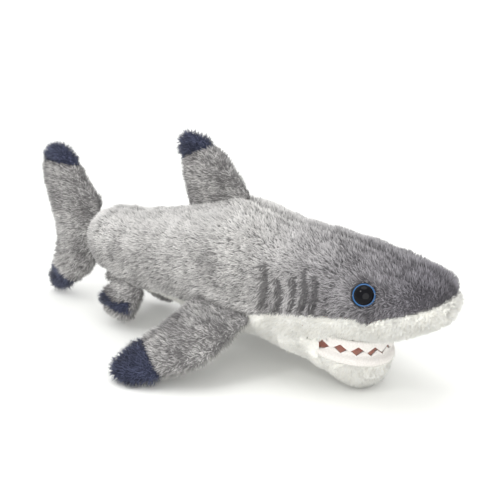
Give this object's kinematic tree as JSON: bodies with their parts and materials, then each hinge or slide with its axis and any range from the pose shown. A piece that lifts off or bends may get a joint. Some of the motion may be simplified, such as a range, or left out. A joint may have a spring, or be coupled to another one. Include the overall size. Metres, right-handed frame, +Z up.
{
  "type": "plush shark",
  "caption": "Stuffed plush shark with grey back, white belly, navy fin tips, glossy eyes, felt teeth, an opening jaw and fins that flap and sway.",
  "frame": {"origin": "on the ground, under the middle of the shark's length", "axes": "+X to the nose, +Z up, +Y to the shark's left"},
  "size_m": [0.4002, 0.2238, 0.1716],
  "materials": {
    "grey_pile": "heather grey plush pile, about 4 mm, combed back",
    "pale_grey_pile": "pale grey plush pile",
    "white_pile": "warm white plush pile, short",
    "navy_pile": "dark navy curly pile, slightly longer",
    "pink_felt": "coral pink flat cloth",
    "white_felt": "white felt, die cut",
    "fibre_fill": "loose polyester fibre",
    "thread": "grey sewing thread",
    "black_plastic": "glossy black moulding",
    "blue_ring": "blue painted ring behind the lens",
    "clear_lens": "deep glossy dome, black behind clear"
  },
  "bodies": {
    "root": {"back_panel_left": "grey_pile", "back_panel_right": "grey_pile", "belly_panel": "white_pile", "closing_seam_thread": "thread", "eye_base_left": "black_plastic", "eye_base_right": "black_plastic", "eye_iris_left": "blue_ring", "eye_iris_right": "blue_ring", "eye_lens_left": "clear_lens", "eye_lens_right": "clear_lens", "eye_washer_left": "black_plastic", "eye_washer_right": "black_plastic", "gill_threads_left": "thread", "gill_threads_right": "thread", "muzzle_panel": "white_pile", "palate_lining": "pink_felt", "throat_lining": "pink_felt", "torso_stuffing": "fibre_fill", "upper_teeth": "white_felt"},
    "jaw": {"chin_panel": "white_pile", "jaw_stuffing": "fibre_fill", "lower_teeth": "white_felt", "mouth_floor_lining": "pink_felt"},
    "dorsal_fin": {"dorsal_panel_left": "grey_pile", "dorsal_panel_right": "grey_pile", "dorsal_stuffing": "fibre_fill", "dorsal_tip": "navy_pile"},
    "tail_fin": {"tail_lower_tip": "navy_pile", "tail_panel_left": "grey_pile", "tail_panel_right": "grey_pile", "tail_stuffing": "fibre_fill", "tail_upper_tip": "navy_pile"},
    "anal_fin": {"anal_fin_panel_left": "grey_pile", "anal_fin_panel_right": "grey_pile"},
    "pectoral_fin_right": {"pectoral_lower_panel_right": "pale_grey_pile", "pectoral_stuffing_right": "fibre_fill", "pectoral_tip_right": "navy_pile", "pectoral_upper_panel_right": "grey_pile"},
    "pectoral_fin_left": {"pectoral_lower_panel_left": "pale_grey_pile", "pectoral_stuffing_left": "fibre_fill", "pectoral_tip_left": "navy_pile", "pectoral_upper_panel_left": "grey_pile"},
    "pelvic_fin_right": {"pelvic_inner_panel_right": "grey_pile", "pelvic_outer_panel_right": "grey_pile", "pelvic_stuffing_right": "fibre_fill", "pelvic_tip_right": "navy_pile"},
    "pelvic_fin_left": {"pelvic_inner_panel_left": "grey_pile", "pelvic_outer_panel_left": "grey_pile", "pelvic_stuffing_left": "fibre_fill", "pelvic_tip_left": "navy_pile"}
  },
  "joints": [
    {"name": "jaw_open", "type": "hinge", "parent": "root", "child": "jaw", "pos_m": [0.106, 0, 0.034], "axis": [0, 1, 0], "range_deg": [0, 18], "stiffness_Nm_per_rad": 0.3, "springref_deg": -5.73},
    {"name": "dorsal_flop", "type": "hinge", "parent": "root", "child": "dorsal_fin", "pos_m": [0.0005, 0, 0.1169], "axis": [0.9733, 0, 0.2295], "range_deg": [-16, 16], "stiffness_Nm_per_rad": 0.06},
    {"name": "tail_sway", "type": "hinge", "parent": "root", "child": "tail_fin", "pos_m": [-0.133, 0, 0.067], "axis": [0, 0, 1], "range_deg": [-32, 32], "stiffness_Nm_per_rad": 0.15},
    {"name": "anal_flop", "type": "hinge", "parent": "root", "child": "anal_fin", "pos_m": [-0.109, 0, 0.0405], "axis": [0.9311, 0, -0.3647], "range_deg": [-22, 22], "stiffness_Nm_per_rad": 0.02},
    {"name": "pectoral_right_flap", "type": "hinge", "parent": "root", "child": "pectoral_fin_right", "pos_m": [0.048, -0.0458, 0.04975], "axis": [-0.9956, 0, 0.0933], "range_deg": [-8, 45], "stiffness_Nm_per_rad": 0.8, "springref_deg": -2.86},
    {"name": "pelvic_right_flap", "type": "hinge", "parent": "root", "child": "pelvic_fin_right", "pos_m": [-0.0735, -0.02775, 0.0403], "axis": [-0.9941, 0.0134, 0.1075], "range_deg": [-15, 35], "stiffness_Nm_per_rad": 0.1},
    {"name": "pectoral_left_flap", "type": "hinge", "parent": "root", "child": "pectoral_fin_left", "pos_m": [0.048, 0.0458, 0.04975], "axis": [0.9956, 0, -0.0933], "range_deg": [-8, 45], "stiffness_Nm_per_rad": 0.8, "springref_deg": -2.86},
    {"name": "pelvic_left_flap", "type": "hinge", "parent": "root", "child": "pelvic_fin_left", "pos_m": [-0.0735, 0.02775, 0.0403], "axis": [0.9941, 0.0134, -0.1075], "range_deg": [-15, 35], "stiffness_Nm_per_rad": 0.1}
  ]
}
